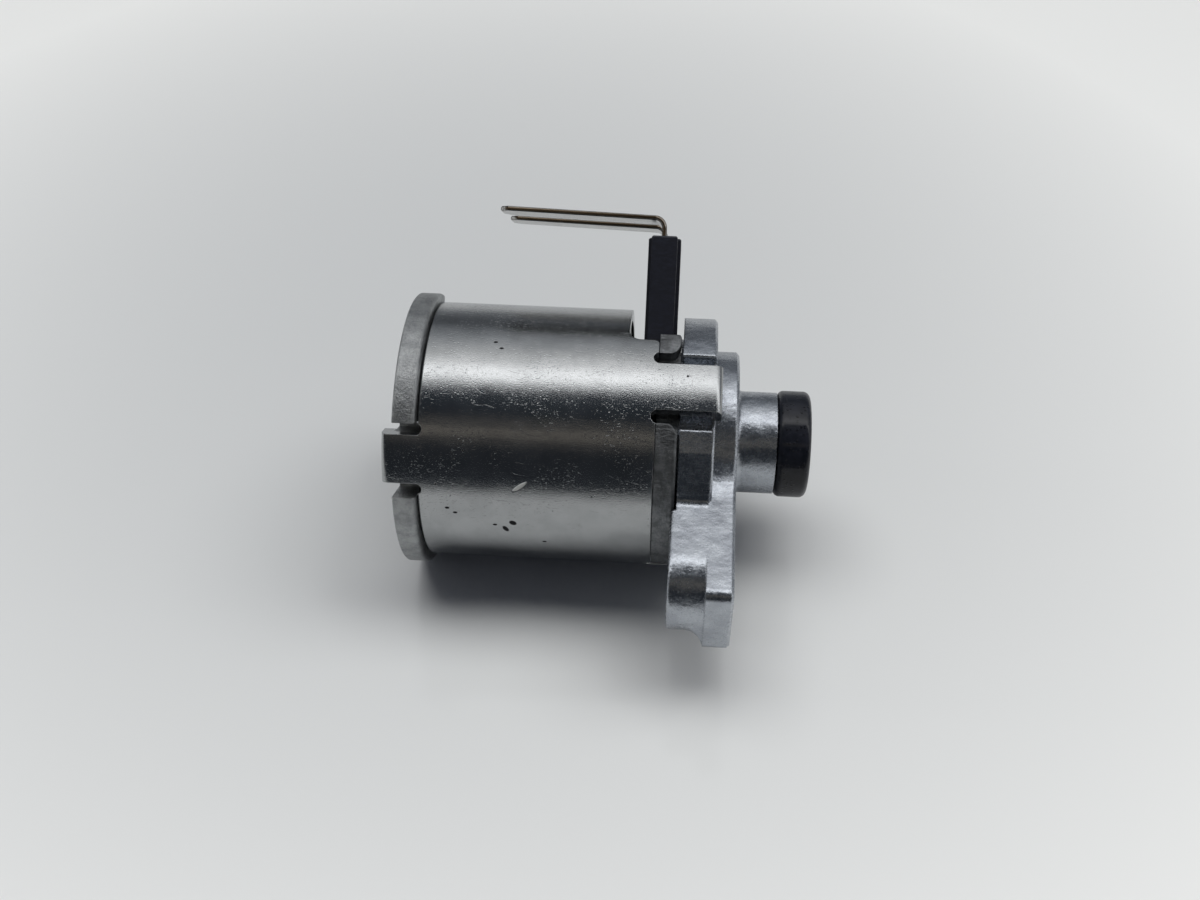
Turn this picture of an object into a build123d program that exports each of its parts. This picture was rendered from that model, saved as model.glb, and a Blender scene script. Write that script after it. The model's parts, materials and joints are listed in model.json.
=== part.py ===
"""Oil control solenoid valve of the kind bolted inside an automatic gearbox.

The axis of the valve is the X axis. The flange face that sits on the hydraulic block is the
plane X = 0, the nose that plugs into the block points to +X, the steel can lies behind it on
-X, and +Z is up when the valve lies on a bench. All sizes are in millimetres.

Directions around the axis are given by one angle, phi: 0 points to -Y and 90 points to +Z.
"""

import os
from math import asin
from math import cos
from math import degrees
from math import radians
from math import sin
from math import sqrt
from math import tan

from build123d import *

os.makedirs("parts", exist_ok=True)

# ---------------------------------------------------------------------------------------------
# Driving sizes
# ---------------------------------------------------------------------------------------------

# fits and gaps
seam = 0.05  # parting line between two clamped pieces
slip = 0.05  # radial clearance of a piece that is only dropped in
run_fit = 0.03  # radial clearance of the sliding plunger and pin
touch = 0.02  # gap left where two moving pieces meet at rest
over = 1.0  # how far a cutting tool runs past the metal

# die-cast flange body
collar_r = 9.83
collar_len = 2.8
step_inset = 0.65
step_bevel = 0.3
step_len = 3.3
pad_inset = 1.8
pad_len = 0.2
facet_depth = 0.2
facet_len = 4.6
facet_turns = (36.0, 53.5)
edge_break = 0.3
ear_phi = -6.5
ear_half = 5.0
ear_end_len = 5.2
ear_corner = 1.15
ear_root_collar = 8.0
ear_root_step = 1.0
ear_clear = 4.7
ear_hole_r = 3.2
boss_extra = 0.55
boss_gap = 0.3
boss_edge = 0.45
flare_r = 1.9
flare_inset = 0.25
port_r = 0.95

# spigot, nose and seal
spigot_r = 5.58
spigot_len = 4.35
spigot_root = 0.7
nose_len = 3.25
seal_seat = 1.68
seal_proud = 0.26
seal_len = 3.6
seal_round = 0.75

# sheet-steel can with its crimp tabs
can_r = 14.0
can_wall = 1.2
can_len = 24.3
tab_width = 5.2
front_slot_r = 0.7
rear_slot_r = 0.6
slot_depth = 0.5
front_lip = 0.9
rear_lip = 1.25
lip_reach = 2.3
bend_r = 0.8
post_phi = 132.0
strip_turn = 24.0
rear_tab_phi = 30.0
window_gap = 0.5
window_len = 3.2
window_back_corner = 1.3
window_front_corner = 0.6
can_edge = 0.2
notch_gap = 1.35
gap_drop = 1.1
deep_gap_drop = 2.4
notch_edge = 0.3

# end plates
front_plate_len = 2.25
front_plate_inset = 0.1
plate_round = 0.35
plate_corner_len = 1.1
plate_corner_width = 2.0
rear_plate_len = 2.4
rear_plate_rim = 0.92
rear_plate_bevel = 0.15
rear_plate_roll = 0.45

# bobbin with its terminal post, winding
bobbin_wall = 1.05
bobbin_gap = 0.4
flange_len = 1.2
head_len = 3.4
head_inset = 1.8
coil_inset = 0.7
tape_len = 0.25
washer_len = 0.45
post_core_len = 3.45
post_edge_len = 2.7
post_wall = 1.37
post_shoulder = 2.7
post_sink = 3.4
post_rise = 7.5
post_relief = 2.2
post_bevel = 0.15
post_gap = 0.3

# blade terminals and the two ends of the winding
blade_thick = 0.5
blade_width = 4.2
blade_pitch = 8.86
blade_set_back = 0.1
blade_seat = 0.2
blade_clear = 2.22
blade_bend = 0.8
blade_run = 17.3
blade_rise = 1.5
blade_tip = 0.8
lead_r = 0.16
lead_hole_r = 0.3
lead_offset = 0.7

# magnet parts on the axis
plunger_r = 4.4
plunger_len = 10.4
sleeve_wall = 0.3
stroke = 0.6
shim_len = 0.12
pole_nose = 0.9
stop_r = 3.0
stop_pad_inset = 0.2
stop_rivet_rim = 0.7
stop_rivet_len = 0.6
stop_rivet_round = 0.4
pin_r = 0.75
pin_grip = 5.0
pin_gap = 0.45
spring_gap = 0.3
pocket_len = 3.0
spring_r = 1.6
spring_wire_r = 0.2
spring_turns = 6

# valve
valve_bore_r = 2.4
seat_start = 0.2
seat_len = 1.8
seat_throat_r = 1.3
ball_r = 1.75
ball_spring_r = 1.1
ball_spring_wire_r = 0.14
ball_spring_turns = 3
plug_len = 1.2
plug_grip = 0.8
plug_rim_len = 0.4
inlet_r = 1.0
bush_wall = 0.75
bush_recess = 0.25
oring_wire_r = 0.6

# ---------------------------------------------------------------------------------------------
# Places that follow from the sizes
# ---------------------------------------------------------------------------------------------

# outside, from the flange face backwards
step_front = -collar_len
step_back = step_front - step_len
pad_back = step_back - pad_len
front_plate_x = pad_back - front_plate_len
can_front = front_plate_x - seam
can_rear = can_front - can_len
can_in = can_r - can_wall
step_r = can_r - step_inset
pad_r = can_in - pad_inset
front_plate_r = can_r - front_plate_inset
rear_plate_r = can_r + rear_plate_rim
ear_hole_at = can_r + ear_clear
ear_reach = ear_hole_at + ear_end_len
rear_plate_front = can_rear - seam
rear_plate_back = rear_plate_front - rear_plate_len
front_lip_x = step_front + front_lip
rear_lip_x = rear_plate_back - rear_lip
window_back = can_front - window_len
notch_half = tab_width / 2 + notch_gap
notch_floor = sqrt(can_in**2 - (tab_width / 2) ** 2) - slip
lip_floor = sqrt((can_r - lip_reach) ** 2 - (tab_width / 2) ** 2) - 2 * slip
notch_cut = 2 * (rear_plate_r - notch_floor)
gap_at = (tab_width + notch_gap) / 2
gap_floor = notch_floor - gap_drop

# inside the can
sleeve_in = plunger_r + run_fit
sleeve_out = sleeve_in + sleeve_wall
bobbin_in = sleeve_out + slip
bobbin_out = bobbin_in + bobbin_wall
bobbin_front = front_plate_x - 2 * seam
bobbin_rear = rear_plate_front + washer_len + 2 * seam
head_back = bobbin_front - head_len
coil_front = head_back - flange_len
coil_rear = bobbin_rear + flange_len
flange_r = can_in - bobbin_gap
coil_r = flange_r - coil_inset
head_r = flange_r - head_inset
post_mid = can_front
post_half = (blade_pitch + blade_width) / 2 + post_wall
post_core_half = post_half - post_shoulder
post_root = head_r - post_sink
post_top = can_r + post_rise
post_step = head_r - post_relief
post_floor = post_step - post_gap
window_half = degrees(asin((post_half + window_gap) / can_in))

# terminals
blade_mid = post_mid - blade_set_back
blade_back = blade_mid - blade_thick / 2
blade_root = post_step + blade_seat
blade_top = post_top + blade_clear
blade_knee = blade_top - blade_thick / 2
blade_tip_x = blade_back - blade_run
blade_tip_height = blade_knee + (blade_mid - blade_tip_x) * tan(radians(blade_rise))
lead_at = blade_root + lead_offset

# on the axis
stop_face = bobbin_rear
plunger_rear = stop_face + touch
plunger_front = plunger_rear + plunger_len
core_rear = plunger_front + stroke + shim_len + touch
core_front = pad_back + pole_nose
core_r = sleeve_in
core_bore_r = pin_r + pin_gap
pocket_r = spring_r + spring_wire_r + spring_gap
stop_pad_r = plunger_r - stop_pad_inset
stop_rivet_r = stop_r + stop_rivet_rim
oring_r = core_r - slip - oring_wire_r
oring_x = core_front + seam + oring_wire_r
bush_back = oring_x + oring_wire_r + seam
bush_front = step_front - bush_recess
bush_r = pin_r + run_fit + bush_wall

# valve and nose
nose_end = spigot_len + nose_len
nose_r = spigot_r - seal_seat
seal_r = spigot_r + seal_proud
plug_rim_r = nose_r + plug_grip
seat_front = seat_start + seat_len
ball_x = seat_front + sqrt(ball_r**2 - seat_throat_r**2) + touch
pin_tip = ball_x - ball_r - touch
pin_back = plunger_front - pin_grip
plug_back = nose_end - plug_len + plug_rim_len
seal_back = spigot_len + seam
port_x = (bush_front + seat_start) / 2

front_tab_spread = window_half + strip_turn
front_tabs = (
    post_phi - front_tab_spread,
    post_phi + front_tab_spread,
    post_phi + 180.0,
)
rear_tabs = (rear_tab_phi, rear_tab_phi + 120.0, rear_tab_phi + 240.0)


def outwards(phi):
    """Unit direction away from the axis at the angle phi."""
    return (0.0, -cos(radians(phi)), sin(radians(phi)))


def section(phi, x):
    """Cross-section plane at x, facing +X, with local x pointing outwards along phi."""
    return Plane(origin=(x, 0.0, 0.0), x_dir=outwards(phi), z_dir=(1.0, 0.0, 0.0))


def seen_from(phi):
    """Plane through the axis that faces outwards along phi, with local x along the valve."""
    return Plane(origin=(0.0, 0.0, 0.0), x_dir=(1.0, 0.0, 0.0), z_dir=outwards(phi))


def lengthwise(phi):
    """Plane that holds the axis and the direction phi: local x is X, local y is outwards."""
    return Plane(origin=(0.0, 0.0, 0.0), x_dir=(1.0, 0.0, 0.0), z_dir=outwards(phi - 90.0))


def ring(x_low, x_high, r_low, r_high, mode=Mode.ADD):
    """Adds the half section of a ring to the current sketch, or takes it away."""
    with Locations(((x_low + x_high) / 2, (r_low + r_high) / 2)):
        Rectangle(x_high - x_low, r_high - r_low, mode=mode)


def tab_notch(drop, mode=Mode.ADD):
    """Outline that a crimp tab lies in: a land under the tab, and gaps beside it that go deeper."""
    land_mid = notch_floor + notch_cut / 2
    with Locations((land_mid, 0)):
        Rectangle(notch_cut, tab_width, mode=mode)
    with Locations((land_mid - drop, gap_at), (land_mid - drop, -gap_at)):
        Rectangle(notch_cut, notch_gap, mode=mode)


def finish(piece, name):
    """Names a finished piece and writes it to its own file."""
    piece.part.label = name
    export_step(piece.part, f"parts/{name}.step")
    print(f"{name:16s} {piece.part.volume:9.2f} mm3, solids: {len(piece.part.solids())}")


# ---------------------------------------------------------------------------------------------
# Die-cast aluminium flange body: stepped flange with its bolt ear, spigot and nose
# ---------------------------------------------------------------------------------------------

with BuildPart() as ear_flare:
    with BuildSketch(lengthwise(ear_phi)):
        with BuildLine():
            Polyline(
                (step_front, ear_hole_at + ear_half + flare_r),
                (step_front, ear_hole_at),
                (step_front - flare_r, ear_hole_at),
                (step_front - flare_r, ear_hole_at + ear_half),
            )
            RadiusArc(
                (step_front - flare_r, ear_hole_at + ear_half),
                (step_front, ear_hole_at + ear_half + flare_r),
                -flare_r,
            )
        make_face()
    hole_axis = Axis(section(ear_phi, 0).from_local_coords((ear_hole_at, 0, 0)), (1, 0, 0))
    revolve(axis=hole_axis)
    with BuildSketch(section(ear_phi, step_front - flare_r)) as ear_end:
        with Locations((ear_hole_at + (ear_end_len - flare_inset) / 2, ear_half / 2)):
            Rectangle(ear_end_len - flare_inset, ear_half)
        fillet(ear_end.vertices().sort_by(Axis.X)[-2:].sort_by(Axis.Y)[-1], ear_corner)
    extrude(amount=flare_r, mode=Mode.INTERSECT)

with BuildPart() as flange_body:
    # the layer that lies on the hydraulic block: a collar that runs out into the ear
    with BuildSketch(section(ear_phi, step_front)) as collar_sketch:
        Circle(collar_r)
        with Locations((ear_reach / 2, 0)):
            Rectangle(ear_reach, 2 * ear_half)
        corners = collar_sketch.vertices().sort_by(Axis.X)
        fillet(corners[-2:], ear_corner)
        corners = collar_sketch.vertices().filter_by_position(Axis.X, 1, collar_r)
        fillet(corners, ear_root_collar)
    extrude(amount=collar_len)
    # the step behind it, which the can is crimped round
    with BuildSketch(section(ear_phi, step_back)) as step_sketch:
        Circle(step_r)
        with Locations((ear_hole_at / 2, 0)):
            Rectangle(ear_hole_at, 2 * ear_half)
        corners = step_sketch.vertices().filter_by_position(Axis.X, 1, step_r)
        fillet(corners, ear_root_step)
        with Locations((ear_hole_at, 0)):
            Circle(ear_half)
        # flats on each side of the ear, left by the casting die
        for turn in facet_turns:
            for side in (-1, 1):
                with PolarLocations(step_r - facet_depth + over, 1, start_angle=side * turn):
                    Rectangle(2 * over, facet_len, mode=Mode.SUBTRACT)
    extrude(amount=step_len)
    # the step's front edge is a cone
    with BuildSketch(Plane.XY):
        with BuildLine():
            Polyline(
                (step_front, 0),
                (step_front, step_r),
                (step_front + step_bevel, step_r - step_bevel),
                (step_front + step_bevel, 0),
                close=True,
            )
        make_face()
    revolve(axis=Axis.X)
    # the boss under the bolt stands a little prouder than the step
    with BuildSketch(section(ear_phi, step_back - boss_extra)):
        with Locations((ear_hole_at, 0)):
            Circle(ear_half)
        with Locations((ear_hole_at / 2, 0)):
            Rectangle(ear_hole_at, 2 * ear_half)
        Circle(can_r + boss_gap, mode=Mode.SUBTRACT)
    extrude(amount=boss_extra)
    boss_back = step_back - boss_extra
    rim = flange_body.edges().filter_by_position(Axis.X, boss_back - touch, boss_back + touch)
    round_end = rim.filter_by(GeomType.CIRCLE).sort_by(SortBy.RADIUS)[:1]
    fillet(rim.filter_by(GeomType.LINE) + round_end, boss_edge)
    # a round flare joins the boss to the lower corner of the ear plate
    add(ear_flare.part)
    # seat for the can's end plate
    with BuildSketch(section(ear_phi, pad_back)):
        Circle(pad_r)
    extrude(amount=pad_len)
    # notches that the crimp tabs of the can lie in
    for phi in front_tabs:
        with BuildSketch(section(phi, step_back)):
            tab_notch(deep_gap_drop)
        extrude(amount=step_len, mode=Mode.SUBTRACT)
        with BuildSketch(section(phi, step_front)):
            with Locations((lip_floor + notch_cut / 2, 0)):
                Rectangle(notch_cut, 2 * notch_half)
        extrude(amount=front_lip + seam, mode=Mode.SUBTRACT)
    # the casting's edges beside the tabs are rounded
    for phi in front_tabs:
        across = section(phi, step_back)
        beside = [
            edge
            for edge in flange_body.edges().filter_by(Axis.X)
            if across.to_local_coords(edge.center()).X > notch_floor
            and abs(abs(across.to_local_coords(edge.center()).Y) - notch_half) < touch
        ]
        fillet(beside, notch_edge)
    # spigot with a rounded root, and the thinner nose that carries the seal
    with BuildSketch(Plane.XY):
        with BuildLine():
            Polyline(
                (0, spigot_r + spigot_root),
                (0, 0),
                (nose_end, 0),
                (nose_end, nose_r),
                (spigot_len, nose_r),
                (spigot_len, spigot_r),
                (spigot_root, spigot_r),
            )
            RadiusArc((spigot_root, spigot_r), (0, spigot_r + spigot_root), spigot_root)
        make_face()
    revolve(axis=Axis.X)
    # bores along the axis: pole nose and O-ring, pin bush, outlet chamber and valve chamber
    with BuildSketch(Plane.XY):
        ring(pad_back, bush_back, 0, core_r)
        ring(pad_back, bush_front, 0, bush_r)
        ring(bush_front, nose_end, 0, valve_bore_r)
    revolve(axis=Axis.X, mode=Mode.SUBTRACT)
    # outlet port through the collar, and the bolt hole in the ear
    with BuildSketch(seen_from(270)):
        with Locations((port_x, 0)):
            Circle(port_r)
    extrude(amount=collar_r + over, mode=Mode.SUBTRACT)
    with BuildSketch(section(ear_phi, step_back - boss_extra)):
        with Locations((ear_hole_at, 0)):
            Circle(ear_hole_r)
    extrude(amount=boss_extra + step_len + collar_len, mode=Mode.SUBTRACT)
    # the edge round the flange face is broken
    flange_face = flange_body.faces().filter_by(Plane.YZ).filter_by_position(Axis.X, -touch, touch)
    chamfer(flange_face.sort_by(SortBy.AREA)[-1].outer_wire().edges(), edge_break)
finish(flange_body, "flange_body")

with BuildPart() as pin_bush:
    with BuildSketch(Plane.XY):
        ring(bush_back, bush_front, pin_r + run_fit, bush_r)
    revolve(axis=Axis.X)
finish(pin_bush, "pin_bush")

# ---------------------------------------------------------------------------------------------
# Steel can: a drawn tube with crimp tabs at both ends and a window for the terminal post
# ---------------------------------------------------------------------------------------------

# a whole bent rim for each end, of which only the tabs are kept
with BuildPart() as front_tab_set:
    with BuildSketch(Plane.XY):
        ring(can_front - over, front_lip_x, can_in, can_r)
        ring(step_front, front_lip_x, can_r - lip_reach, can_r)
    revolve(axis=Axis.X)
    rims = front_tab_set.edges().filter_by(GeomType.CIRCLE).group_by(Axis.X)[-1]
    fillet(rims.sort_by(SortBy.RADIUS)[-1], bend_r)
    with BuildSketch(Plane.YZ.offset(can_front - over)):
        for phi in front_tabs:
            with PolarLocations(can_r, 1, start_angle=180.0 - phi):
                Rectangle(can_r, tab_width)
    extrude(amount=front_lip_x - can_front + 2 * over, mode=Mode.INTERSECT)

with BuildPart() as rear_tab_set:
    with BuildSketch(Plane.XY):
        ring(rear_lip_x, can_rear + over, can_in, can_r)
        ring(rear_lip_x, rear_plate_back, can_r - lip_reach, can_r)
    revolve(axis=Axis.X)
    rims = rear_tab_set.edges().filter_by(GeomType.CIRCLE).group_by(Axis.X)[0]
    fillet(rims.sort_by(SortBy.RADIUS)[-1], bend_r)
    with BuildSketch(Plane.YZ.offset(rear_lip_x - over)):
        for phi in rear_tabs:
            with PolarLocations(can_r, 1, start_angle=180.0 - phi):
                Rectangle(can_r, tab_width)
    extrude(amount=can_rear - rear_lip_x + 2 * over, mode=Mode.INTERSECT)

with BuildPart() as yoke_can:
    with BuildSketch(Plane.XY):
        ring(can_rear, can_front, can_in, can_r)
    revolve(axis=Axis.X)
    # window that the terminal post comes out of, with straight sides towards the axis
    side_run = 2 * can_r
    side_rise = side_run * tan(radians(window_half))
    with BuildSketch(section(post_phi, window_back)):
        with BuildLine():
            Polyline((0, 0), (side_run, side_rise), (side_run, -side_rise), close=True)
        make_face()
    extrude(amount=window_len, mode=Mode.SUBTRACT)
    across = yoke_can.edges().filter_by(GeomType.LINE).filter_by(Axis.X, reverse=True)
    fillet(across.group_by(Axis.X)[0], window_back_corner)
    across = yoke_can.edges().filter_by(GeomType.LINE).filter_by(Axis.X, reverse=True)
    fillet(across.group_by(Axis.X)[-1], window_front_corner)
    rims = yoke_can.edges().filter_by(GeomType.CIRCLE).group_by(Axis.X)[0]
    chamfer(rims.sort_by(SortBy.RADIUS)[-1], can_edge)
    # slots beside the tabs, with round ends
    for phi in front_tabs:
        with BuildSketch(seen_from(phi)):
            slot_at = tab_width / 2 + front_slot_r
            with Locations(
                (can_front - slot_depth + front_slot_r, slot_at),
                (can_front - slot_depth + front_slot_r, -slot_at),
            ):
                Circle(front_slot_r)
        extrude(amount=can_r + over, mode=Mode.SUBTRACT)
    for phi in rear_tabs:
        with BuildSketch(seen_from(phi)):
            slot_at = tab_width / 2 + rear_slot_r
            with Locations(
                (can_rear + slot_depth - rear_slot_r, slot_at),
                (can_rear + slot_depth - rear_slot_r, -slot_at),
            ):
                Circle(rear_slot_r)
        extrude(amount=can_r + over, mode=Mode.SUBTRACT)
    add(front_tab_set.part)
    add(rear_tab_set.part)
finish(yoke_can, "yoke_can")

# ---------------------------------------------------------------------------------------------
# End plates: they close the magnetic circuit and take the crimp
# ---------------------------------------------------------------------------------------------

with BuildPart() as front_plate:
    with BuildSketch(section(post_phi, front_plate_x)):
        Circle(front_plate_r)
        for phi in front_tabs:
            with PolarLocations(0, 1, start_angle=post_phi - phi):
                tab_notch(gap_drop, Mode.SUBTRACT)
        with Locations((post_floor + can_r / 2, 0)):
            Rectangle(can_r, 2 * (post_half + post_gap), mode=Mode.SUBTRACT)
        Circle(core_r, mode=Mode.SUBTRACT)
    extrude(amount=front_plate_len)
    rims = front_plate.edges().filter_by(GeomType.CIRCLE).filter_by_position(Axis.X, pad_back - seam, 0)
    fillet(rims.group_by(SortBy.RADIUS)[-1], plate_round)
    # the punch also rolls the corners beside the tabs over
    for phi in front_tabs:
        with BuildSketch(seen_from(phi).offset(gap_floor)):
            with Locations((pad_back, notch_half), (pad_back, -notch_half)):
                Rectangle(2 * plate_corner_len, 2 * plate_corner_width)
            roll_at = notch_half + plate_corner_width
            with Locations((pad_back - plate_corner_len, roll_at), (pad_back - plate_corner_len, -roll_at)):
                Ellipse(plate_corner_len, plate_corner_width, mode=Mode.SUBTRACT)
        extrude(amount=can_r, mode=Mode.SUBTRACT)
finish(front_plate, "front_plate")

with BuildPart() as rear_plate:
    with BuildSketch(section(rear_tab_phi, rear_plate_back)):
        Circle(rear_plate_r)
        for phi in rear_tabs:
            with PolarLocations(0, 1, start_angle=rear_tab_phi - phi):
                tab_notch(deep_gap_drop, Mode.SUBTRACT)
        Circle(stop_r, mode=Mode.SUBTRACT)
    extrude(amount=rear_plate_len)
    rims = rear_plate.edges().filter_by(GeomType.CIRCLE).group_by(SortBy.RADIUS)[-1]
    chamfer(rims.group_by(Axis.X)[0], rear_plate_bevel)
    # the punch leaves the other rim rolled over
    rims = rear_plate.edges().filter_by(GeomType.CIRCLE).group_by(SortBy.RADIUS)[-1]
    fillet(rims.group_by(Axis.X)[-1], rear_plate_roll)
finish(rear_plate, "rear_plate")

with BuildPart() as rear_stop:
    # riveted plug that the plunger rests on
    with BuildSketch(Plane.XY):
        ring(rear_plate_back, rear_plate_front, 0, stop_r)
        ring(rear_plate_front, stop_face, 0, stop_pad_r)
        ring(rear_plate_back - stop_rivet_len, rear_plate_back, 0, stop_rivet_r)
    revolve(axis=Axis.X)
    rivet_rim = rear_stop.edges().filter_by(GeomType.CIRCLE).group_by(Axis.X)[0]
    fillet(rivet_rim, stop_rivet_round)
    # ring pressed in by the riveting punch
    with BuildSketch(Plane.XY):
        with Locations((rear_plate_back - stop_rivet_len, stop_r / 2)):
            Circle(stop_rivet_len / 2)
    revolve(axis=Axis.X, mode=Mode.SUBTRACT)
finish(rear_stop, "rear_stop")

# ---------------------------------------------------------------------------------------------
# Bobbin, its head and the terminal post, moulded in one piece
# ---------------------------------------------------------------------------------------------

post_axis = Axis((0, 0, 0), outwards(post_phi))
blade_sides = (blade_pitch / 2, -blade_pitch / 2)

with BuildPart() as bobbin:
    with BuildSketch(Plane.XY):
        ring(bobbin_rear, bobbin_front, bobbin_in, bobbin_out)
        ring(bobbin_rear, coil_rear, bobbin_in, flange_r)
        ring(coil_front, head_back, bobbin_in, flange_r)
        ring(head_back, bobbin_front, bobbin_in, head_r)
    revolve(axis=Axis.X)
    # the post has a thick middle and two thinner edges; in front of the head it starts higher,
    # to clear the end plate
    for thick, half in ((post_core_len, post_core_half), (post_edge_len, post_half)):
        with BuildSketch(section(post_phi, post_mid - thick / 2)):
            with Locations(((post_root + post_top) / 2, 0)):
                Rectangle(post_top - post_root, 2 * half)
        extrude(amount=bobbin_front - post_mid + thick / 2)
        with BuildSketch(section(post_phi, bobbin_front)):
            with Locations(((post_step + post_top) / 2, 0)):
                Rectangle(post_top - post_step, 2 * half)
        extrude(amount=post_mid + thick / 2 - bobbin_front)
    chamfer(bobbin.faces().sort_by(post_axis)[-1].outer_wire().edges(), post_bevel)
    # the blades are moulded in, and the ends of the winding reach them through two small holes
    for side in blade_sides:
        with BuildSketch(section(post_phi, blade_back)):
            with Locations(((blade_root + blade_top) / 2, side)):
                Rectangle(blade_top - blade_root, blade_width)
        extrude(amount=blade_thick, mode=Mode.SUBTRACT)
        with BuildSketch(section(post_phi, coil_front)):
            with Locations((lead_at, side)):
                Circle(lead_hole_r)
        extrude(amount=blade_back - coil_front, mode=Mode.SUBTRACT)
finish(bobbin, "bobbin")

with BuildPart() as coil_winding:
    with BuildSketch(Plane.XY):
        ring(coil_rear, coil_front, bobbin_out, coil_r)
    revolve(axis=Axis.X)
finish(coil_winding, "coil_winding")

with BuildPart() as coil_tape:
    with BuildSketch(Plane.XY):
        ring(coil_rear, coil_front, coil_r, coil_r + tape_len)
    revolve(axis=Axis.X)
finish(coil_tape, "coil_tape")

with BuildPart() as coil_leads:
    for side in blade_sides:
        with BuildSketch(section(post_phi, coil_front)):
            with Locations((lead_at, side)):
                Circle(lead_r)
        extrude(amount=blade_back - coil_front)
finish(coil_leads, "coil_leads")

with BuildPart() as spacer_ring:
    with BuildSketch(Plane.XY):
        ring(rear_plate_front + seam, bobbin_rear - seam, bobbin_out, flange_r)
    revolve(axis=Axis.X)
finish(spacer_ring, "spacer_ring")

# ---------------------------------------------------------------------------------------------
# Two blade terminals, bent back over the can
# ---------------------------------------------------------------------------------------------

for name, side in zip(("terminal_near", "terminal_far"), blade_sides):
    with BuildPart() as blade:
        with BuildSketch(lengthwise(post_phi).offset(side)):
            with BuildLine():
                FilletPolyline(
                    (blade_mid, blade_root),
                    (blade_mid, blade_knee),
                    (blade_tip_x, blade_tip_height),
                    radius=blade_bend + blade_thick / 2,
                )
            trace(line_width=blade_thick)
        extrude(amount=blade_width / 2, both=True)
        tip_face = blade.faces().sort_by(Axis.X)[0]
        chamfer(tip_face.edges().sort_by(SortBy.LENGTH)[:2], blade_tip)
    finish(blade, name)

# ---------------------------------------------------------------------------------------------
# Magnet parts on the axis
# ---------------------------------------------------------------------------------------------

with BuildPart() as guide_sleeve:
    with BuildSketch(Plane.XY):
        ring(bobbin_rear, bobbin_front, sleeve_in, sleeve_out)
    revolve(axis=Axis.X)
finish(guide_sleeve, "guide_sleeve")

with BuildPart() as pole_core:
    with BuildSketch(Plane.XY):
        ring(core_rear, core_front, core_bore_r, core_r)
    revolve(axis=Axis.X)
    with BuildSketch(Plane.XY):
        ring(core_rear, core_rear + pocket_len, 0, pocket_r)
    revolve(axis=Axis.X, mode=Mode.SUBTRACT)
finish(pole_core, "pole_core")

with BuildPart() as plunger:
    with BuildSketch(Plane.XY):
        ring(plunger_rear, plunger_front, 0, plunger_r)
    revolve(axis=Axis.X)
    with BuildSketch(Plane.XY):
        ring(pin_back, plunger_front, 0, pin_r)
        ring(plunger_front - pocket_len, plunger_front, 0, pocket_r)
    revolve(axis=Axis.X, mode=Mode.SUBTRACT)
finish(plunger, "plunger")

with BuildPart() as push_pin:
    with BuildSketch(Plane.XY):
        ring(pin_back, pin_tip, 0, pin_r)
    revolve(axis=Axis.X)
finish(push_pin, "push_pin")

with BuildPart() as gap_shim:
    with BuildSketch(Plane.XY):
        ring(core_rear - shim_len, core_rear, pocket_r, plunger_r - slip)
    revolve(axis=Axis.X)
finish(gap_shim, "gap_shim")


def coil_spring(x_low, x_high, coil_radius, wire_radius, turns):
    """Round-wire compression spring on the X axis, from x_low to x_high over its wire."""
    length = x_high - x_low - 2 * wire_radius
    start = (x_low + wire_radius, 0, 0)
    with BuildPart() as spring:
        with BuildLine() as path:
            Helix(length / turns, length, coil_radius, center=start, direction=(1, 0, 0))
        with BuildSketch(Plane(origin=path.line @ 0, z_dir=path.line % 0)):
            Circle(wire_radius)
        sweep(path=path.line, is_frenet=True)
    return spring


return_spring = coil_spring(
    plunger_front - pocket_len + touch,
    core_rear + pocket_len - touch,
    spring_r,
    spring_wire_r,
    spring_turns,
)
finish(return_spring, "return_spring")

# ---------------------------------------------------------------------------------------------
# Valve in the nose
# ---------------------------------------------------------------------------------------------

with BuildPart() as valve_seat:
    with BuildSketch(Plane.XY):
        ring(seat_start, seat_front, seat_throat_r, valve_bore_r)
    revolve(axis=Axis.X)
finish(valve_seat, "valve_seat")

with BuildPart() as valve_ball:
    with BuildSketch(Plane.XY):
        with Locations((ball_x, 0)):
            Circle(ball_r)
        with Locations((ball_x, -ball_r)):
            Rectangle(2 * ball_r, 2 * ball_r, mode=Mode.SUBTRACT)
    revolve(axis=Axis.X)
finish(valve_ball, "valve_ball")

ball_spring = coil_spring(
    ball_x + sqrt(ball_r**2 - ball_spring_r**2) + 2 * touch,
    plug_back - touch,
    ball_spring_r,
    ball_spring_wire_r,
    ball_spring_turns,
)
finish(ball_spring, "ball_spring")

with BuildPart() as nose_plug:
    with BuildSketch(Plane.XY):
        ring(plug_back, nose_end, inlet_r, valve_bore_r)
        ring(nose_end, nose_end + plug_rim_len, inlet_r, plug_rim_r)
    revolve(axis=Axis.X)
finish(nose_plug, "nose_plug")

with BuildPart() as nose_seal:
    with BuildSketch(Plane.XY) as seal_sketch:
        ring(seal_back, seal_back + seal_len, nose_r, seal_r)
        outer = seal_sketch.vertices().group_by(Axis.Y)[-1]
        fillet(outer, seal_round)
        ring(nose_end - seam, seal_back + seal_len + over, 0, plug_rim_r + slip, Mode.SUBTRACT)
    revolve(axis=Axis.X)
finish(nose_seal, "nose_seal")

with BuildPart() as pole_oring:
    with BuildSketch(Plane.XY):
        with Locations((oring_x, oring_r)):
            Circle(oring_wire_r)
    revolve(axis=Axis.X)
finish(pole_oring, "pole_oring")
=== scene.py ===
# %% [markdown]
# # An oil control solenoid valve
# The valve lies on its side on a pale table. Its working shapes come packed as a fixed frame of
# separate nodes. This lesson gives those nodes their finishes, makes the pieces that need finer
# work than the frame has, and sets up the table, the light and the camera. First the frame is
# loaded.

# %% Load the frame
import json
from math import atan2, cos, degrees, pi, radians, sin

import bpy
from mathutils import Matrix, Vector

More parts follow.
